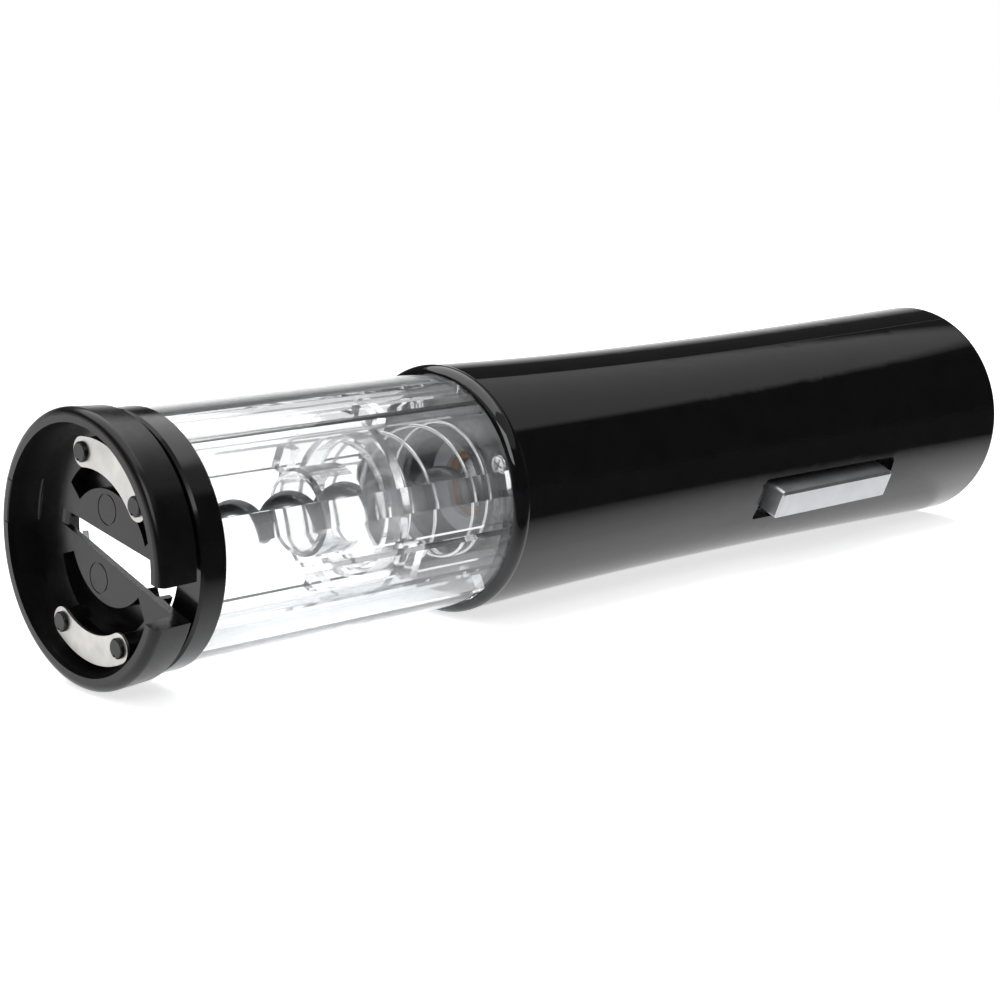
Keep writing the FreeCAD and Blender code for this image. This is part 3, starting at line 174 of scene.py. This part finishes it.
ALONG = (0.06, 1.0, 1.0)
FINISHES = {
    "satin_black": finish("satin_black", (0.0028, 0.0028, 0.0030), (0.0045, 0.0045, 0.0048),
                          0.22, 0.04, relief=0.012, depth=0.02, grain=2600.0, ior=1.34),
    "ring_black": finish("ring_black", (0.0028, 0.0028, 0.0030), (0.0045, 0.0045, 0.0048),
                         0.14, 0.03, relief=0.05, depth=0.02, grain=1800.0, ior=1.37),
    "gloss_black": finish("gloss_black", (0.0030, 0.0030, 0.0034), (0.0045, 0.0045, 0.0050),
                          0.045, 0.012, relief=0.004, depth=0.02, grain=700.0),
    "clear_plastic": clear("clear_plastic", (0.955, 0.962, 0.966), 0.05, 0.22, ALONG),
    "blade_steel": finish("blade_steel", (0.47, 0.455, 0.435), (0.38, 0.37, 0.355), 0.36, 0.07,
                          metal=1.0, relief=0.2, depth=0.02, grain=1800.0),
    "bright_steel": finish("bright_steel", (0.68, 0.68, 0.69), (0.60, 0.60, 0.61), 0.20, 0.06,
                           metal=1.0, relief=0.06),
    "worm_black": finish("worm_black", (0.010, 0.010, 0.011), (0.016, 0.016, 0.017), 0.16, 0.05,
                         relief=0.1, depth=0.03, grain=900.0, coat=0.3),
    "shaft_steel": finish("shaft_steel", (0.48, 0.48, 0.49), (0.40, 0.40, 0.41), 0.30, 0.08,
                          metal=1.0, drawn=(6.0, 1.0, 1.0), relief=0.2),
    "grey_plastic": finish("grey_plastic", (0.42, 0.43, 0.44), (0.36, 0.37, 0.38), 0.38, 0.06,
                           relief=0.15, depth=0.03),
    "bronze": finish("bronze", (0.40, 0.19, 0.065), (0.30, 0.13, 0.045), 0.45, 0.08, metal=0.5,
                     relief=0.35, depth=0.03, grain=2200.0),
    "gear_nylon": finish("gear_nylon", (0.74, 0.72, 0.66), (0.68, 0.66, 0.59), 0.48, 0.06,
                         relief=0.15, depth=0.02),
    "sun_steel": finish("sun_steel", (0.45, 0.44, 0.42), (0.36, 0.35, 0.34), 0.42, 0.08,
                        metal=1.0, relief=0.3, depth=0.02),
    "motor_steel": finish("motor_steel", (0.56, 0.57, 0.58), (0.48, 0.49, 0.50), 0.30, 0.08,
                          metal=1.0, drawn=ALONG, relief=0.2),
    "magnet": finish("magnet", (0.035, 0.034, 0.036), (0.055, 0.053, 0.054), 0.62, 0.08,
                     relief=0.4, depth=0.04),
    "armature_steel": finish("armature_steel", (0.30, 0.30, 0.31), (0.22, 0.22, 0.23), 0.45,
                             0.08, metal=1.0, drawn=(12.0, 1.0, 1.0), relief=0.4),
    "copper": finish("copper", (0.70, 0.30, 0.14), (0.55, 0.20, 0.09), 0.32, 0.08, metal=1.0,
                     drawn=(0.3, 2.0, 2.0), relief=0.5, depth=0.04),
    "cell_sleeve": finish("cell_sleeve", (0.055, 0.085, 0.13), (0.045, 0.07, 0.11), 0.26, 0.06,
                          relief=0.1),
    "silver_button": finish("silver_button", (0.60, 0.61, 0.63), (0.54, 0.55, 0.57), 0.33, 0.05,
                            metal=0.9, relief=0.18, depth=0.02, grain=3200.0),
    "board_green": finish("board_green", (0.02, 0.10, 0.04), (0.015, 0.075, 0.03), 0.40, 0.06,
                          relief=0.2),
    "switch_black": finish("switch_black", (0.02, 0.02, 0.021), (0.03, 0.03, 0.031), 0.5, 0.06,
                           relief=0.2),
    "plunger_grey": finish("plunger_grey", (0.40, 0.40, 0.41), (0.34, 0.34, 0.35), 0.45, 0.06,
                           relief=0.1),
    "wire_red": finish("wire_red", (0.42, 0.02, 0.018), (0.34, 0.015, 0.014), 0.42, 0.06,
                       relief=0.15),
}

for node in NODES.values():
    for place in node.material_slots:
        place.material = FINISHES[place.material.name]
INNER_CLEAR = clear("inner_clear", (0.93, 0.937, 0.942), 0.10, 0.06, ALONG)
NODES["cork_guide"].material_slots[0].material = INNER_CLEAR

# ---------------------------------------------------------------- twins of the pieces that bend, and the shell seam


def twin(node, name, cuts):
    """A soft twin of a CAD node: the same surface, with long edges divided so it can bend."""
    source = NODES[node]
    merge_within, long_edge, sharp_angle = 0.002 * MM, 0.8 * MM, 35
    shape = bmesh.new()
    shape.from_mesh(source.data)
    bmesh.ops.remove_doubles(shape, verts=shape.verts, dist=merge_within)
    if cuts:
        edges = [edge for edge in shape.edges if edge.calc_length() > long_edge]
        bmesh.ops.subdivide_edges(shape, edges=edges, cuts=cuts, use_grid_fill=True)
        bmesh.ops.triangulate(shape, faces=shape.faces)
    for face in shape.faces:
        face.smooth = True
    mesh = bpy.data.meshes.new(name)
    shape.to_mesh(mesh)
    shape.free()
    mesh.materials.append(source.material_slots[0].material)
    mesh.set_sharp_from_angle(angle=math.radians(sharp_angle))
    piece = bpy.data.objects.new(name, mesh)
    SCENE.collection.objects.link(piece)
    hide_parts(node)
    return piece


def middle_of(node):
    low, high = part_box(node)
    return (Vector(low) + Vector(high)) / 2


def skinned(name, shape, rings, material):
    """A closed piece whose skin joins these rings of points, one after the other."""
    count = len(rings[0])
    for first, second in zip(rings, rings[1:]):
        for j in range(count):
            after = (j + 1) % count
            shape.faces.new((first[j], first[after], second[after], second[j]))
    shape.faces.new(rings[0])
    shape.faces.new(rings[-1])
    bmesh.ops.recalc_face_normals(shape, faces=shape.faces)
    mesh = bpy.data.meshes.new(name)
    shape.to_mesh(mesh)
    shape.free()
    mesh.materials.append(material)
    piece = bpy.data.objects.new(name, mesh)
    SCENE.collection.objects.link(piece)
    return piece


def floor_strip(across, inward):
    """The thin floor that closes the first part of the slot, next to the web."""
    outer_end, length = -21.6 * MM, 9.3 * MM
    slot_half, slope, bite = 2.27 * MM, 0.065, 0.25 * MM
    front, rear, edge_round = 6.04 * MM, 7.15 * MM, 0.35 * MM
    steps, columns, rounded_steps = 11, 8, 2
    shape = bmesh.new()
    rows = []
    for k in range(steps + 1):
        along = outer_end + length * k / steps
        half = slot_half + slope * along + bite
        spots = [inward * along + across * half * (2 * j / columns - 1)
                 for j in range(columns + 1)]
        past = max(0.0, (k - steps + rounded_steps) / rounded_steps)
        rounded = edge_round * past ** 2
        loop = [shape.verts.new(spot + Vector((front + rounded, 0, 0))) for spot in spots]
        loop += [shape.verts.new(spot + Vector((rear - rounded, 0, 0)))
                 for spot in reversed(spots)]
        rows.append(loop)
    return skinned("hinge_floor", shape, rows, FINISHES["satin_black"])


def living_hinge():
    """The web at the closed end of the slot, which bends from the lower jaw to the upper one,
    as a twin with its long edges divided, and the thin floor strip beside it.

    It is a little wider than its CAD solid, so that it laps into both jaws and hides the joint.
    """
    web = twin("cutter_hinge_web", "bending_web", 3)
    across = middle_of("blade_upper") - middle_of("blade_lower")
    across.x = 0.0
    across.normalize()
    inward = -middle_of("cutter_hinge_web")
    inward.x = 0.0
    inward -= across * inward.dot(across)
    inward.normalize()
    widening = 0.05
    for vert in web.data.vertices:
        vert.co += across * vert.co.dot(across) * widening
    strip = floor_strip(across, inward)
    for piece in (web, strip):
        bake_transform(piece)


def soft_spring():
    """The spring behind the cork guide, which shortens as the guide is pushed back:
    a twin with its own mesh, riding on the handle.
    """
    spring = twin("guide_spring", "soft_spring", 0)
    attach(spring, "handle")
    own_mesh(spring)


def shell_seam(name, side, shell):
    """The hairline where the two handle shells meet, laid just into their surface."""
    button = middle_of("rocker_button")
    facing = Vector((0.0, button.y, button.z)).normalized()
    outward = Vector((1, 0, 0)).cross(facing) * side
    low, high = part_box("front_shell")
    steps, corners, radius = 90, 6, 0.10 * MM
    front_gap, ends_gap, beyond, sunk = 1.4 * MM, 3.0 * MM, 40 * MM, 0.05 * MM
    shape = bmesh.new()
    rings = []
    for k in range(steps + 1):
        x = low[0] + front_gap + (high[0] - low[0] - ends_gap) * k / steps
        start = Vector((x, 0, 0)) + outward * beyond + facing * sunk
        found = shell.ray_cast(start, -outward)[0]
        centre = Vector((x, 0, 0)) + outward * (found.dot(outward) - sunk)
        turns = [2 * math.pi * j / corners for j in range(corners)]
        rings.append([shape.verts.new(centre + (outward * math.cos(a) + facing * math.sin(a))
                                      * radius) for a in turns])
    seam = skinned(name, shape, rings, FINISHES["switch_black"])
    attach(seam, "handle")


living_hinge()
soft_spring()
FRONT_SHELL = bmesh.new()
FRONT_SHELL.from_mesh(NODES["front_shell"].data)
SHELL_TREE = BVHTree.FromBMesh(FRONT_SHELL)
FRONT_SHELL.free()
shell_seam("shell_seam_upper", 1, SHELL_TREE)
shell_seam("shell_seam_lower", -1, SHELL_TREE)

# ---------------------------------------------------------------- studio


def world_light():
    """A studio by direction: a low white backdrop, a dim soft box above, dark elsewhere."""
    world = bpy.data.worlds.new("studio")
    SCENE.world = world
    world.use_nodes = True
    tree = world.node_tree
    tree.nodes.clear()
    direction = tree.nodes.new("ShaderNodeTexCoord").outputs["Generated"]
    parts = linked(tree, "ShaderNodeSeparateXYZ", Vector=direction)
    behind = remap(tree, parts.outputs["Y"], 0.0, 1.0, -0.30, 0.10)
    low_down = remap(tree, parts.outputs["Z"], 1.0, 0.03, 0.10, 0.34)
    both = tree.nodes.new("ShaderNodeMath")
    both.operation = "MULTIPLY"
    tree.links.new(behind, both.inputs[0])
    tree.links.new(low_down, both.inputs[1])
    backdrop = both.outputs[0]
    above = remap(tree, parts.outputs["Z"], 0.02, 0.50, 0.56, 0.59)
    near = linked(tree, "ShaderNodeCombineXYZ", X=above, Y=above, Z=above).outputs[0]
    mix = tree.nodes.new("ShaderNodeMix")
    mix.data_type = "RGBA"
    tree.links.new(backdrop, mix.inputs["Factor"])
    tree.links.new(near, mix.inputs[6])
    mix.inputs[7].default_value = (1.0, 1.0, 1.0, 1.0)
    studio = linked(tree, "ShaderNodeBackground", Color=mix.outputs[2], Strength=1.0)
    plain = linked(tree, "ShaderNodeBackground", Color=(1.0, 1.0, 1.0, 1.0), Strength=1.0)
    is_camera = tree.nodes.new("ShaderNodeLightPath").outputs["Is Camera Ray"]
    seen = tree.nodes.new("ShaderNodeMixShader")
    tree.links.new(is_camera, seen.inputs[0])
    tree.links.new(studio.outputs[0], seen.inputs[1])
    tree.links.new(plain.outputs[0], seen.inputs[2])
    output = tree.nodes.new("ShaderNodeOutputWorld")
    tree.links.new(seen.outputs[0], output.inputs["Surface"])


def area(name, place, target, across, watts):
    lamp = bpy.data.lights.new(name, "AREA")
    lamp.shape = "SQUARE"
    lamp.size = across
    lamp.energy = watts
    holder = bpy.data.objects.new(name, lamp)
    SCENE.collection.objects.link(holder)
    holder.location = place
    holder.rotation_euler = (Vector(target) - Vector(place)).to_track_quat("-Z", "Y").to_euler()
    return holder


def studio_floor():
    mesh = bpy.data.meshes.new("floor")
    shape = bmesh.new()
    low, high = CAD_BOX
    middle = (low + high) / 2
    bmesh.ops.create_grid(shape, x_segments=8, y_segments=8, size=40.0)
    hair = 0.1 * MM
    bmesh.ops.translate(shape, verts=shape.verts, vec=(middle.x, middle.y, low.z - hair))
    shape.to_mesh(mesh)
    shape.free()
    floor = bpy.data.objects.new("floor", mesh)
    SCENE.collection.objects.link(floor)
    paper = finish("floor_paper", (0.90, 0.90, 0.90), (0.88, 0.88, 0.885), 0.8, 0.05,
                   patch=3.0, grain=300.0, relief=0.02)
    tree = paper.node_tree
    shader = tree.nodes["Principled BSDF"]
    shader.inputs["Emission Color"].default_value = (1.0, 1.0, 1.0, 1.0)
    # The paper gives off more light far away, so that it meets the white backdrop unseen.
    away = tree.nodes.new("ShaderNodeVectorMath")
    away.operation = "LENGTH"
    tree.links.new(tree.nodes.new("ShaderNodeTexCoord").outputs["Object"], away.inputs[0])
    tree.links.new(remap(tree, away.outputs["Value"], 0.70, 1.0, 0.3, 1.4),
                   shader.inputs["Emission Strength"])
    mesh.materials.append(paper)


def dark_flag():
    """A black cloth on the near side of the table, seen only in the glossy plastic."""
    mesh = bpy.data.meshes.new("dark_flag")
    low, high = CAD_BOX
    shape = bmesh.new()
    wide, near, far, lift = 30, -0.022, -39, 1 * MM
    corners = ((low.x - wide, near), (high.x + wide, near), (high.x + wide, far),
               (low.x - wide, far))
    shape.faces.new([shape.verts.new((x, y, low.z + lift)) for x, y in corners])
    shape.to_mesh(mesh)
    shape.free()
    cloth = finish("flag_cloth", (0.004, 0.004, 0.004), (0.006, 0.006, 0.006), 0.9, 0.03)
    tree = cloth.node_tree
    place = tree.nodes.new("ShaderNodeTexCoord").outputs["Object"]
    y = linked(tree, "ShaderNodeSeparateXYZ", Vector=place).outputs["Y"]
    tree.links.new(remap(tree, y, 1.0, 0.0, -0.064, -0.024),
                   tree.nodes["Principled BSDF"].inputs["Alpha"])
    mesh.materials.append(cloth)
    flag = bpy.data.objects.new("dark_flag", mesh)
    SCENE.collection.objects.link(flag)
    flag.visible_camera = False
    flag.visible_diffuse = False
    flag.visible_transmission = False
    flag.visible_shadow = False


def camera():
    data = bpy.data.cameras.new("view")
    data.lens = 74.24
    data.sensor_width = 36.0
    data.clip_start = 0.01
    holder = bpy.data.objects.new("view", data)
    SCENE.collection.objects.link(holder)
    holder.location = (-0.18872, -0.30113, 0.07552)
    aim = Vector((0.1016, 0.0, -0.00452)) - holder.location
    holder.rotation_euler = aim.to_track_quat("-Z", "Y").to_euler()
    SCENE.camera = holder


world_light()
studio_floor()
dark_flag()
camera()
area("overhead", (0.1, 0.35, 1.3), (0.1, 0.0, 0.0), 2.0, 24.0)
area("front_left", (-0.60, -0.55, 0.55), (0.05, 0.0, 0.0), 0.5, 3.0)
SCENE.view_settings.view_transform = "Standard"
